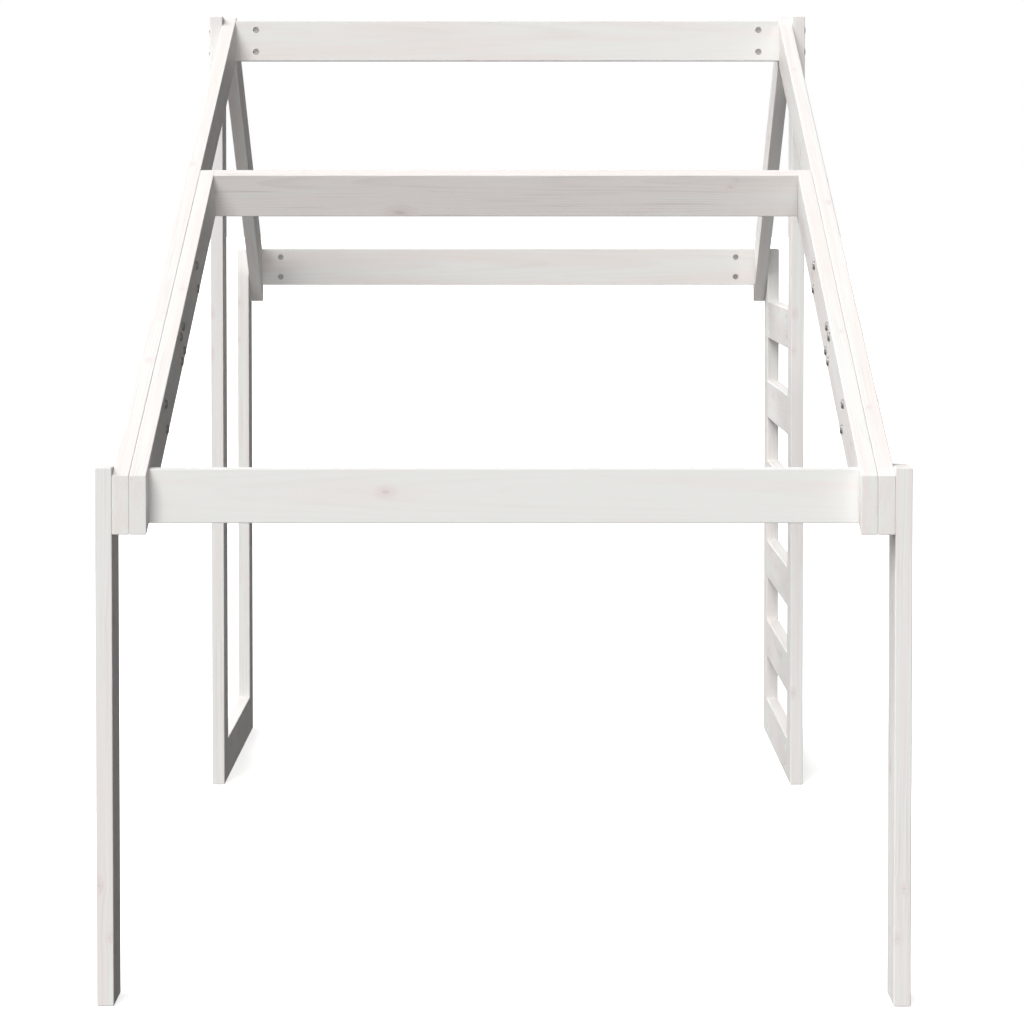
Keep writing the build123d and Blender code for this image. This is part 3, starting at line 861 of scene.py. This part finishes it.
@dataclass(frozen=True)
class Turned:
    """A fastener turned about its axis, with its head's seat at height 0 and its shank below.

    Its profile is carried round the axis; the radius of the rows in the recess follows the
    outline of the drive instead of a circle.
    """

    head_radius: float = 0.0065
    head_height: float = 0.003
    crown: float = 0.0022
    shank_radius: float = 0.003
    shank_length: float = 0.086
    drive: Drive = Drive.HEX
    drive_half: float = 0.002
    drive_depth: float = 0.0018
    drive_taper: float = 0.92
    lip: float = 0.0003
    point_share: float = 0.35
    arc_steps: int = 6
    steps: int = 48

    def patches(self) -> list[Patch]:
        """Return the closed surface of the fastener.

        Returns:
            Patches: recess floor, recess wall and lip, head face, crown arc, head side, seat,
            shank, point, tip.
        """
        turn = np.linspace(0.0, 2 * np.pi, self.steps, endpoint=False)
        out = np.column_stack([np.cos(turn), np.sin(turn), np.zeros(self.steps)])
        up = Z_AXIS
        socket = self.drive.outline(turn, self.drive_half)[:, None]
        bottom = socket * self.drive_taper
        top, floor = self.head_height, self.head_height - self.drive_depth
        flat = self.head_radius - self.crown
        tip = self.shank_radius * self.point_share
        neck, low = tip - self.shank_length, -self.shank_length

        def ring(radius: Union[float, np.ndarray], height: float, normal: np.ndarray) -> np.ndarray:
            """Return one ring of corners at a radius and height."""
            return corner_rows(radius * out + height * up, normal)

        def band(normal: np.ndarray, *stops: tuple[Any, float], faceted: bool = False) -> Patch:
            """Return the surface between two rings, each a radius and a height."""
            return Patch.grid(np.stack([ring(*stop, normal) for stop in stops]), True, faceted)

        arc = [
            ring(
                flat + self.crown * math.sin(t),
                top - self.crown * (1 - math.cos(t)),
                math.sin(t) * out + math.cos(t) * up,
            )
            for t in np.linspace(0.0, np.pi / 2, self.arc_steps + 1)
        ]
        return [
            Patch.fan(ring(bottom, floor, up), floor * up),
            band(-out, (bottom, floor), (socket, top - self.lip), faceted=True),
            band(up - out, (socket, top - self.lip), (socket + self.lip, top), faceted=True),
            band(up, (socket + self.lip, top), (flat, top)),
            Patch.grid(np.stack(arc), True),
            Patch.grid(np.stack([arc[-1], ring(self.head_radius, 0.0, out)]), True),
            band(-up, (self.head_radius, 0.0), (self.shank_radius, 0.0)),
            band(out, (self.shank_radius, 0.0), (self.shank_radius, neck)),
            band((out - up) / math.sqrt(2), (self.shank_radius, neck), (self.shank_radius - tip, low)),
            Patch.fan(ring(self.shank_radius - tip, low, -up), low * up),
        ]


@dataclass(frozen=True)
class BarrelNut:
    """A slotted cross nut: a rod whose top face, below the wood's face, has a straight slot."""

    radius: float = 0.005
    length: float = 0.016
    recess: float = 0.003
    slot_half: float = 0.0008
    slot_depth: float = 0.0016
    steps: int = 10

    def patches(self) -> list[Patch]:
        """Return the closed surface of the nut.

        Its top is a disc laid out in chords: the row at angle t has y = radius * sin(t) and runs
        to x = +-radius * cos(t), so two of the rows are the sides of the slot.

        Returns:
            Patches: the top in three parts, the slot's walls, the side in two halves, the bottom.
        """
        side = math.asin(self.slot_half / self.radius)
        low = np.linspace(-np.pi / 2, -side, self.steps)
        slot = np.linspace(-side, side, 3)
        high = np.linspace(side, np.pi / 2, self.steps)
        top, sunk, bottom = -self.recess, -self.recess - self.slot_depth, -self.recess - self.length

        def chords(turns: np.ndarray, height: float, normal: np.ndarray) -> Patch:
            """Return part of the disc, at a height, facing along a normal."""
            x, y = self.radius * np.cos(turns), self.radius * np.sin(turns)
            ends = [np.column_stack([sign * x, y, np.full_like(x, height)]) for sign in (-1, 1)]
            return Patch.grid(corner_rows(np.stack(ends, axis=1), normal), False, True)

        def slot_wall(turn: float, normal: np.ndarray) -> Patch:
            """Return one wall of the slot."""
            x, y = self.radius * math.cos(turn), self.radius * math.sin(turn)
            rows = np.array([[(-x, y, h), (x, y, h)] for h in (top, sunk)])
            return Patch.grid(corner_rows(rows, normal), False, True)

        turns = np.concatenate([low, slot, high])
        heights = np.concatenate([np.full(low.size, top), np.full(slot.size, sunk), np.full(high.size, top)])
        halves = []
        for sign in (-1, 1):
            out = np.column_stack([sign * np.cos(turns), np.sin(turns), np.zeros_like(turns)])
            levels = (heights, np.full_like(turns, sunk), np.full_like(turns, bottom))
            rows = [corner_rows(self.radius * out + level[:, None] * Z_AXIS, out) for level in levels]
            halves.append(Patch.grid(np.stack(rows), False))
        return [
            chords(low, top, Z_AXIS),
            chords(slot, sunk, Z_AXIS),
            chords(high, top, Z_AXIS),
            slot_wall(-side, Y_AXIS),
            slot_wall(side, -Y_AXIS),
            *halves,
            chords(turns, bottom, -Z_AXIS),
        ]


@dataclass(frozen=True)
class FastenerSet:
    """The fasteners of one CAD node: the point and outward direction of each, and their kind."""

    node: str
    slot: str
    places: tuple[Place, ...]
    kind: Union[Turned, BarrelNut]
    slot_way: Triple = (0.0, 0.0, 1.0)

    def build(self, material: bpy.types.Material) -> bpy.types.Object:
        """Make every fastener of the set in one mesh, in place of the CAD node."""
        shell = Shell()
        patches, slot_way = self.kind.patches(), np.array(self.slot_way)
        for point, outward in self.places:
            way = slot_way - outward * float(slot_way @ outward)
            shell.add(patches, Axes.facing(point, outward, way / np.linalg.norm(way)))
        return install(shell.mesh(f"steel_{self.node}", "lathe"), material, self.node)


# --- The frame ------------------------------------------------------------------------


STOCK = Stock()
SIDES = {"left": -1.0, "right": 1.0}
ACROSS_BOARD = (0.016, 0.054)
BARREL = BarrelNut()
NUT_HOLE = 0.0053


def corners(node: str) -> Place:
    """Return the lowest and highest corner of a CAD node as arrays."""
    low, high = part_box(node)
    return np.array(low), np.array(high)


def nut_holes(length: float, from_end: float, side: int) -> tuple[Pocket, ...]:
    """Return the cross-nut holes near both ends of a board, bored from one side."""
    depth = BARREL.recess + BARREL.length
    return tuple(
        Pocket(along, STOCK.width / 2 - down, side, NUT_HOLE, depth)
        for along in (from_end, length - from_end)
        for down in ACROSS_BOARD
    )


def beam_bolts(node: str) -> list[Spot]:
    """Return (y, z) of the two bolts into each end of a level beam."""
    low, high = corners(node)
    return [((low[1] + high[1]) / 2, high[2] - down) for down in ACROSS_BOARD]


def upright_board(
    node: str, run: np.ndarray, across: np.ndarray, through: np.ndarray, end: End, pockets: tuple[Pocket, ...]
) -> Board:
    """Return a board on three of the frame's axes that fills the box of its CAD node."""
    low, high = corners(node)
    length = float(np.abs((high - low) @ run))
    origin = (low + high) / 2 - run * length / 2
    return Board(node, Axes(origin, run, across, through), Cut(0.0, 0.0, end), Cut(length, 0.0, end), pockets)


@dataclass(frozen=True)
class Posts:
    """The six posts: low front pair, high ridge pair and rear pair."""

    rows: tuple[str, ...] = ("front", "ridge", "rear")
    bored_row: str = "front"
    counterbore_radius: float = 0.007
    counterbore_depth: float = 0.004

    def boards(self) -> list[Board]:
        """Return the posts, the front ones with counterbores for their sunk bolts."""
        made = []
        for row in self.rows:
            bolts = beam_bolts("front_eave_beam") if row == self.bored_row else ()
            for name, sign in SIDES.items():
                node = f"{row}_post_{name}"
                low, high = corners(node)
                middle = (low[1] + high[1]) / 2
                holes = tuple(
                    Pocket(z - low[2], y - middle, int(sign), self.counterbore_radius, self.counterbore_depth)
                    for y, z in bolts
                )
                made.append(upright_board(node, Z_AXIS, Y_AXIS, X_AXIS, End.EASED, holes))
        return made


@dataclass(frozen=True)
class RoofSlopes:
    """The doubled long slopes and the single rear ones, with the lines that everything hangs on."""

    front: float = -1.050
    rear: float = 1.050
    apex: float = 0.493
    front_top: float = 0.680
    apex_top: float = 1.350
    rear_top: float = 0.920
    outer_layer: float = 0.487
    inner_layer: float = 0.465
    splice: float = 0.452
    inner_length: float = 0.996
    purlin: float = 0.985
    bolt_offsets: tuple[float, ...] = (-0.222, -0.017, 0.017, 0.222)
    screw_spots: tuple[Spot, ...] = ((0.5105, 1.319), (0.5105, 1.273))
    screw_pocket: float = 0.0048
    screw_pocket_depth: float = 0.0006

    def rise(self) -> float:
        """Return the slope of the long side as an angle."""
        return math.atan2(self.apex_top - self.front_top, self.apex - self.front)

    def fall(self) -> float:
        """Return the slope of the rear side as an angle below level."""
        return math.atan2(self.apex_top - self.rear_top, self.rear - self.apex)

    def on_slope(self, along: float, down: float) -> Spot:
        """Return (y, z) on the long slope: along it from its front end, and down from its top."""
        angle = self.rise()
        return (
            self.front + along * math.cos(angle) + down * math.sin(angle),
            self.front_top + along * math.sin(angle) - down * math.cos(angle),
        )

    def axes(self, x: float, origin: Spot, angle: float) -> Axes:
        """Return the axes of a roof board that climbs at an angle, in the layer at x."""
        run = np.array((0.0, math.cos(angle), math.sin(angle)))
        across = np.array((0.0, -math.sin(angle), math.cos(angle)))
        return Axes(np.array((x, *origin)), run, across, X_AXIS)

    def plumb(self, axes: Axes, y: float, end: End) -> Cut:
        """Return the upright cut of a roof board at y."""
        return Cut((y - axes.origin[1]) / axes.first[1], -axes.second[1] / axes.first[1], end)

    def splice_points(self) -> list[Spot]:
        """Return (y, z) of the bolts that hold the doubled boards together."""
        return [self.on_slope(self.splice + step, down) for step in self.bolt_offsets for down in ACROSS_BOARD]

    def rear_pocket(self, axes: Axes, spot: Spot, side: int) -> Pocket:
        """Return the sink of a screw at (y, z) in a rear rafter."""
        off = np.array((0.0, *spot)) - axes.origin * np.array((0.0, 1.0, 1.0))
        place = float(off @ axes.first), float(off @ axes.second)
        return Pocket(*place, side, self.screw_pocket, self.screw_pocket_depth)

    def boards(self) -> list[Board]:
        """Return the roof boards of both sides."""
        made = []
        half = STOCK.width / 2
        fall = -self.fall()
        top_middle = (self.apex, self.apex_top - half / math.cos(fall))
        for name, sign in SIDES.items():
            outer, inner = (
                self.axes(sign * layer, self.on_slope(0.0, half), self.rise())
                for layer in (self.outer_layer, self.inner_layer)
            )
            rear = self.axes(sign * self.outer_layer, top_middle, fall)
            joint = Cut(self.splice, 0.0, End.BUTT)
            toe, ridge = self.plumb(outer, self.front, End.EASED), self.plumb(outer, self.apex, End.BUTT)
            rear_ends = self.plumb(rear, self.apex, End.BUTT), self.plumb(rear, self.rear, End.EASED)
            screws = tuple(self.rear_pocket(rear, spot, -int(sign)) for spot in self.screw_spots)
            made += [
                Board(f"rafter_outer_lower_{name}", outer, toe, joint),
                Board(f"rafter_outer_upper_{name}", outer, joint, ridge),
                Board(f"rafter_inner_{name}", inner, toe, Cut(self.inner_length)),
                Board(f"rear_rafter_{name}", rear, *rear_ends, screws),
            ]
        return made


@dataclass(frozen=True)
class CrossBeams:
    """The four beams that join the two sides, with the side that their nuts are bored from."""

    nut_from_end: float = 0.036
    nut_sides: tuple[tuple[str, int], ...] = (
        ("front_eave_beam", 1), ("middle_purlin", 1), ("ridge_beam", -1), ("rear_eave_beam", -1)
    )

    def boards(self, roof: RoofSlopes) -> list[Board]:
        """Return the beams: level ones, and the purlin, which stands square to the long slope."""
        made = []
        for node, side in self.nut_sides:
            low, high = corners(node)
            length = float(high[0] - low[0])
            holes = nut_holes(length, self.nut_from_end, side)
            if node == "middle_purlin":
                slope = roof.axes(-length / 2, roof.on_slope(roof.purlin, STOCK.width / 2), roof.rise())
                axes = Axes(slope.origin, X_AXIS, slope.second, slope.first)
                made.append(Board(node, axes, Cut(0.0, 0.0, End.BUTT), Cut(length, 0.0, End.BUTT), holes))
            else:
                made.append(upright_board(node, X_AXIS, Z_AXIS, Y_AXIS, End.BUTT, holes))
        return made


@dataclass(frozen=True)
class SidePanels:
    """The ladder on the right and the sill rail on the left."""

    rungs: int = 6
    sill: str = "side_sill_rail"
    nut_from_end: float = 0.028

    def bolted_rungs(self) -> tuple[str, str]:
        """Return the rungs that are bolted; the others are dowelled."""
        return "ladder_rung_1", f"ladder_rung_{self.rungs}"

    def boards(self) -> list[Board]:
        """Return the rungs and the sill rail."""
        made = []
        for node in [*(f"ladder_rung_{n + 1}" for n in range(self.rungs)), self.sill]:
            low, high = corners(node)
            holes = ()
            if node in (*self.bolted_rungs(), self.sill):
                holes = nut_holes(float(high[1] - low[1]), self.nut_from_end, -1 if low[0] > 0 else 1)
            made.append(upright_board(node, Y_AXIS, Z_AXIS, X_AXIS, End.BUTT, holes))
        return made


@dataclass(frozen=True)
class Hardware:
    """Bolts, nuts and screws, each set in place of its CAD node."""

    slope_outside: float = 0.498
    slope_inside: float = 0.454
    post_outside: float = 0.520
    rear_rafter_inside: float = 0.476
    sunk: float = 0.004
    bolt: Turned = Turned()
    eave_bolt: Turned = Turned(shank_length=0.104)
    splice_bolt: Turned = Turned(shank_length=0.038)
    sleeve: Turned = Turned(shank_radius=0.004, shank_length=0.018)
    screw: Turned = Turned(0.0045, 0.0, 0.0003, 0.00225, 0.038, Drive.CROSS, 0.0027, 0.001)

    def row(self, points: Sequence[Spot], faces: Sequence[float], inward: bool = False) -> tuple[Place, ...]:
        """Return places at each (y, z) on upright faces at each x, looking out or towards the middle."""
        return tuple(
            (np.array((face, *point)), X_AXIS * math.copysign(1.0, -face if inward else face))
            for face in faces
            for point in points
        )

    def nut_places(self, board: Board) -> tuple[Place, ...]:
        """Return the places of the cross nuts in a board: the mouths of its pockets."""
        return tuple(
            (
                board.axes.placed(np.array((hole.along, hole.across, hole.side * STOCK.thick / 2))),
                board.axes.third * hole.side,
            )
            for hole in board.pockets
        )

    def sets(self, boards: Mapping[str, Board], roof: RoofSlopes, panels: SidePanels) -> list[FastenerSet]:
        """Return every set of visible fasteners.

        Args:
            boards: The boards by CAD node.
            roof: The roof's lines.
            panels: The two side panels.

        Returns:
            The sets, bolts first.
        """
        purlin = [roof.on_slope(roof.purlin, down) for down in ACROSS_BOARD]
        bolts = {
            "eave_bolts": (beam_bolts("front_eave_beam"), self.post_outside - self.sunk, self.eave_bolt),
            "purlin_bolts": (purlin, self.slope_outside, self.bolt),
            "ridge_bolts": (beam_bolts("ridge_beam"), self.post_outside, self.bolt),
            "rear_beam_bolts": (beam_bolts("rear_eave_beam"), self.post_outside, self.bolt),
        }
        made = [
            FastenerSet(node, "bolt_steel", self.row(points, (x, -x)), kind)
            for node, (points, x, kind) in bolts.items()
        ]
        inside = self.rear_rafter_inside
        screws = self.row(roof.screw_spots, (inside, -inside), inward=True)
        made.append(FastenerSet("rear_rafter_screws", "bolt_steel", screws, self.screw))
        for name, sign in SIDES.items():
            heads = self.row(roof.splice_points(), (sign * self.slope_outside,))
            nuts = self.row(roof.splice_points(), (sign * self.slope_inside,), inward=True)
            made.append(FastenerSet(f"rafter_bolts_{name}", "bolt_steel", heads, self.splice_bolt))
            made.append(FastenerSet(f"rafter_sleeve_nuts_{name}", "nut_steel", nuts, self.sleeve))
        nut_sets = {
            "eave_barrel_nuts": ("front_eave_beam",),
            "purlin_barrel_nuts": ("middle_purlin",),
            "ridge_barrel_nuts": ("ridge_beam",),
            "rear_beam_barrel_nuts": ("rear_eave_beam",),
            "ladder_barrel_nuts": panels.bolted_rungs(),
            "sill_barrel_nuts": (panels.sill,),
        }
        for node, holders in nut_sets.items():
            places = tuple(place for holder in holders for place in self.nut_places(boards[holder]))
            made.append(FastenerSet(node, "nut_steel", places, BARREL, tuple(boards[holders[0]].axes.first)))
        return made


# --- Studio ---------------------------------------------------------------------------


@dataclass(frozen=True)
class Lamp:
    """A soft distant lamp: where it shines from, how bright it is and how wide it looks."""

    name: str
    towards: Triple
    strength: float
    width_deg: float
    distance: float = 6.0

    def build(self) -> None:
        """Add the lamp to the scene, shining from its direction to the middle of the frame."""
        data = bpy.data.lights.new(self.name, "SUN")
        data.energy, data.angle = self.strength, math.radians(self.width_deg)
        lamp = bpy.data.objects.new(self.name, data)
        lamp.rotation_mode = "QUATERNION"
        lamp.rotation_quaternion = Vector(self.towards).to_track_quat("Z", "Y")
        lamp.location = Vector(self.towards).normalized() * self.distance
        bpy.context.scene.collection.objects.link(lamp)


@dataclass(frozen=True)
class Studio:
    """A plain pale floor and backdrop, soft lamps and the camera."""

    floor_size: float = 160.0
    floor_level: float = -0.0004
    floor_colour: Colour = (0.94, 0.94, 0.935, 1.0)
    floor_glow: float = 0.7
    white: Colour = (1.0, 1.0, 1.0, 1.0)
    ambient: float = 0.109
    lamps: tuple[Lamp, ...] = (
        Lamp("key_lamp", (-0.312, -0.700, 0.643), 2.12, 28.0),
        Lamp("front_lamp", (0.0, -0.966, 0.259), 0.67, 24.0),
        Lamp("left_lamp", (-0.707, 0.0, 0.707), 1.75, 24.0),
        Lamp("low_left_lamp", (-0.875, 0.408, 0.259), 1.05, 20.0),
        Lamp("bounce_lamp", (0.0, -0.819, -0.574), 0.58, 60.0),
        Lamp("back_lamp", (-0.100, 0.900, 0.424), 0.80, 40.0),
    )
    camera_at: Triple = (0.0170, -4.9913, 1.0309)
    camera_down_deg: float = 1.988
    camera_left_deg: float = 0.0913
    lens: float = 109.376
    sensor_width: float = 36.0
    shift_y: float = -0.20

    def floor(self) -> None:
        """Lay the floor: a level sheet just under the feet, which glows and throws no shadow."""
        edge = np.linspace(-self.floor_size / 2, self.floor_size / 2, 9)
        x, y = np.meshgrid(edge, edge, indexing="ij")
        points = np.stack([x, y, np.full_like(x, self.floor_level)], axis=-1).reshape(-1, 3)
        index = np.arange(x.size).reshape(x.shape)
        faces = np.stack([index[:-1, :-1], index[1:, :-1], index[1:, 1:], index[:-1, 1:]], axis=-1)
        mesh = bpy.data.meshes.new("studio_floor")
        mesh.from_pydata(points.tolist(), [], faces.reshape(-1, 4).tolist())
        shader = Shader.of_material("pale_floor")
        finish = {
            "Base Color": self.floor_colour,
            "Roughness": 0.75 + 0.1 * shader.noise(shader.place(), scale=2.0),
            "Specular IOR Level": 0.1,
            "Emission Color": self.floor_colour,
            "Emission Strength": self.floor_glow,
        }
        mesh.materials.append(shader.finish(finish))
        floor = bpy.data.objects.new("studio_floor", mesh)
        bpy.context.scene.collection.objects.link(floor)
        floor.visible_diffuse = floor.visible_glossy = floor.visible_shadow = False

    def backdrop(self) -> None:
        """Light the room: white to look at, and a low even fill for everything else."""
        world = bpy.data.worlds.new("studio_room")
        bpy.context.scene.world = world
        shader = Shader(world)
        seen = shader.node("ShaderNodeLightPath").outputs["Is Camera Ray"]
        fill, white = (
            shader.node("ShaderNodeBackground", {}, {"Color": self.white, "Strength": strength}).outputs[0]
            for strength in (self.ambient, 1.0)
        )
        mix = shader.node("ShaderNodeMixShader", {}, {0: seen, 1: fill, 2: white}).outputs[0]
        shader.node("ShaderNodeOutputWorld", {}, {"Surface": mix})

    def camera(self) -> None:
        """Set up the camera, a little above the ladder, looking along the frame."""
        data = bpy.data.cameras.new("studio_camera")
        data.lens, data.sensor_width, data.shift_y = self.lens, self.sensor_width, self.shift_y
        camera = bpy.data.objects.new("studio_camera", data)
        camera.location = self.camera_at
        tilt, turn = math.radians(90.0 - self.camera_down_deg), math.radians(self.camera_left_deg)
        camera.rotation_euler = tilt, 0.0, turn
        bpy.context.scene.collection.objects.link(camera)
        bpy.context.scene.camera = camera

    def build(self) -> None:
        """Set up the whole studio."""
        self.floor()
        self.backdrop()
        for lamp in self.lamps:
            lamp.build()
        self.camera()
        bpy.context.scene.view_settings.view_transform = "Standard"


def dress_node(node: str, material: bpy.types.Material, slot: str) -> None:
    """Give a CAD node that keeps its shape a material, and report it with its slot."""
    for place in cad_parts[node].material_slots:
        place.material = material
    log.info("%s: kept from CAD, with %s for %s", node, material.name, slot)


def main() -> None:
    """Build the frame, board by board and set by set, and then the studio."""
    logging.basicConfig(level=logging.INFO, format="%(message)s")
    roof, panels = RoofSlopes(), SidePanels()
    pine = WhiteWashedPine().material()
    steels = {
        "bolt_steel": TurnedSteel("bright_zinc", (0.74, 0.74, 0.73, 1.0), (0.50, 0.50, 0.49, 1.0), 0.22, 0.6),
        "nut_steel": TurnedSteel("dull_zinc", (0.47, 0.46, 0.45, 1.0), (0.30, 0.29, 0.28, 1.0), 0.42, 0.4),
    }
    zinc = {slot: steel.material() for slot, steel in steels.items()}

    boards = [*Posts().boards(), *roof.boards(), *CrossBeams().boards(roof), *panels.boards()]
    for board in boards:
        board.build(pine)
    for fasteners in Hardware().sets({board.node: board for board in boards}, roof, panels):
        fasteners.build(zinc[fasteners.slot])
    rod = ThreadedSteel().material()
    for node in ("ladder_studs", "sill_studs"):
        dress_node(node, rod, "bolt_steel")
    dress_node("ladder_dowels", BeechDowel().material(), "dowel_wood")

    Studio().build()


if __name__ == "__main__":
    main()
